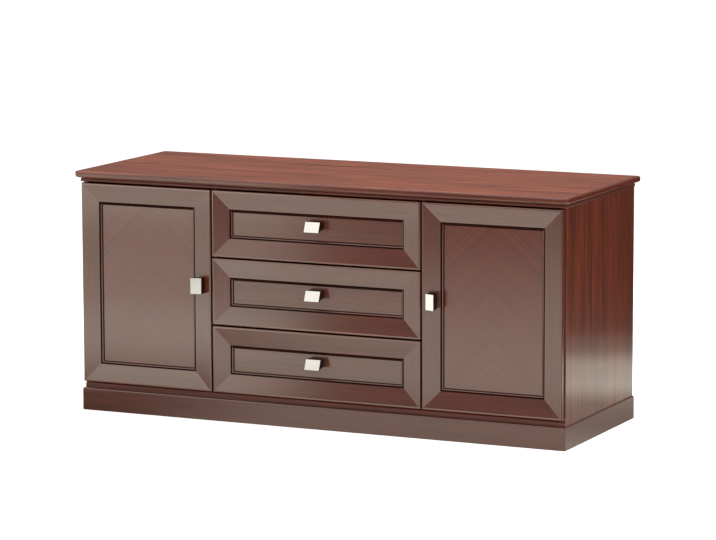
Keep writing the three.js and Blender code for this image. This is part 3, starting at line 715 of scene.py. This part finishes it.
def cardPaint(look):
    material, tree = newMaterial("White card, lit")
    parts = axes(tree, objectPoint(tree))
    right = look["x"][1]
    fade = eased(tree, parts["X"], right - look["fade"], right, 1.0, 0.0)
    # a brighter strip at half a metre, which the lower rails mirror
    strip = eased(tree, apartFrom(tree, parts["Z"], look["stripAt"]), look["stripFrom"], look["stripTo"],
                  look["stripGlow"], look["glow"])
    # and a dimmer band under it, which the upper panels mirror
    band = eased(tree, apartFrom(tree, parts["Z"], look["bandAt"]), look["bandFrom"], look["bandTo"],
                 look["bandDim"], 1.0)
    shown = mixed(tree, fade, clear(tree), glow(tree, calc(tree, "MULTIPLY", strip, band)))
    return surfaced(material, mixed(tree, isRay(tree, "Glossy"), clear(tree), shown))


card = upright("white_card", cardLook, cardPaint(cardLook))

voileLook = {"x": (-1.45, -0.25), "y": faceY - 0.54, "z": (0.03, 0.3), "fade": 0.4, "core": 0.02,
             "glow": 0.36}


def voilePaint(look):
    # A thin bright veil close to the left door's foot, seen only in the lacquer
    material, tree = newMaterial("White voile, lit")
    parts = axes(tree, objectPoint(tree))
    right, (foot, head) = look["x"][1], look["z"]
    across = eased(tree, parts["X"], right - look["fade"], right, look["glow"], 0.0)
    fromMiddle = apartFrom(tree, parts["Z"], (foot + head) / 2)
    soft = eased(tree, fromMiddle, look["core"], (head - foot) / 2, 1.0, 0.0)
    level = calc(tree, "MULTIPLY", calc(tree, "MULTIPLY", across, soft), isRay(tree, "Glossy"))
    return surfaced(material, added(tree, glow(tree, level), clear(tree)))


voile = upright("white_voile", voileLook, voilePaint(voileLook))

softBoxLook = {"x": (-2.6, 0.5), "y": cardLook["y"] - 0.02, "z": (1.25, 3.0), "glow": 1.35,
               "colour": "#fffaf2"}


def softBoxPaint(look):
    material, tree = newMaterial("Soft box cloth, lit")
    cloth = glow(tree, look["glow"], look["colour"])
    return surfaced(material, mixed(tree, isRay(tree, "Glossy"), clear(tree), cloth))


softBox = upright("soft_box", softBoxLook, softBoxPaint(softBoxLook))

roomLook = {"glow": 0.55, "wallMirror": 0.1, "ceilingMirror": 0.85, "ceilingFrom": 0.3, "ceilingTo": 0.65}


def studioWorld(look):
    world = bpy.data.worlds.new("studio room")
    world.use_nodes = True
    tree = world.node_tree
    tree.nodes.clear()

    def background(strength):
        return fed(tree, addNode(tree, "ShaderNodeBackground"), Color=(1, 1, 1, 1), Strength=strength)

    # what metal and lacquer mirror: dim walls under a bright ceiling
    parts = axes(tree, addNode(tree, "ShaderNodeTexCoord").outputs["Generated"])
    ceiling = eased(tree, parts["Z"], look["ceilingFrom"], look["ceilingTo"],
                    look["wallMirror"], look["ceilingMirror"])
    plain = mixed(tree, isRay(tree, "Camera"), background(look["glow"]), background(1.0))
    both = mixed(tree, isRay(tree, "Glossy"), plain, background(ceiling))
    addNode(tree, "ShaderNodeOutputWorld", {}, {"Surface": both})
    bpy.context.scene.world = world


studioWorld(roomLook)


def softLamp(name, place, aim, width, height, watts):
    lamp = bpy.data.lights.new(name, "AREA")
    lamp.shape = "RECTANGLE"
    lamp.size, lamp.size_y, lamp.energy = width, height, watts
    made = bpy.data.objects.new(name, lamp)
    made.location = place
    made.rotation_euler = (Vector(aim) - Vector(place)).to_track_quat("-Z", "Y").to_euler()
    made.visible_glossy = False
    bpy.context.scene.collection.objects.link(made)


softLamp("overhead soft lamp", place=(0.2, 0.4, 3.4), aim=(0, 0.1, 0.3), width=3.0, height=2.0, watts=130)
softLamp("front soft lamp", place=(0.6, -3.8, 1.2), aim=(0, 0, 0.3), width=2.4, height=1.6, watts=40)
softLamp("right soft lamp", place=(4.2, 0.2, 1.5), aim=(0.8, 0, 0.45), width=2.0, height=2.0, watts=55)

# Camera: fitted to the photo's outline
viewFit = {"azimuth": 25.08, "elevation": 8.52, "roll": -0.155, "distance": 10.580, "farthest": 200,
           "aim": (0.1436, faceY, 0.498), "focalPixels": 3549, "imageWidth": 716, "sensor": 36.0}


def photoCamera(fit):
    data = bpy.data.cameras.new("photo camera")
    data.sensor_fit, data.sensor_width = "HORIZONTAL", fit["sensor"]
    data.lens = fit["focalPixels"] * fit["sensor"] / fit["imageWidth"]
    data.clip_end = fit["farthest"]
    camera = bpy.data.objects.new("photo camera", data)
    turn, rise = math.radians(fit["azimuth"]), math.radians(fit["elevation"])
    away = Vector((math.sin(turn) * math.cos(rise), -math.cos(turn) * math.cos(rise), math.sin(rise)))
    camera.location = Vector(fit["aim"]) + fit["distance"] * away
    camera.rotation_euler = (-away).to_track_quat("-Z", "Y").to_euler()
    camera.rotation_euler.rotate_axis("Z", math.radians(fit["roll"]))
    bpy.context.scene.collection.objects.link(camera)
    bpy.context.scene.camera = camera


photoCamera(viewFit)
bpy.context.scene.view_settings.view_transform = "Standard"
print("stage, lamps and camera set")
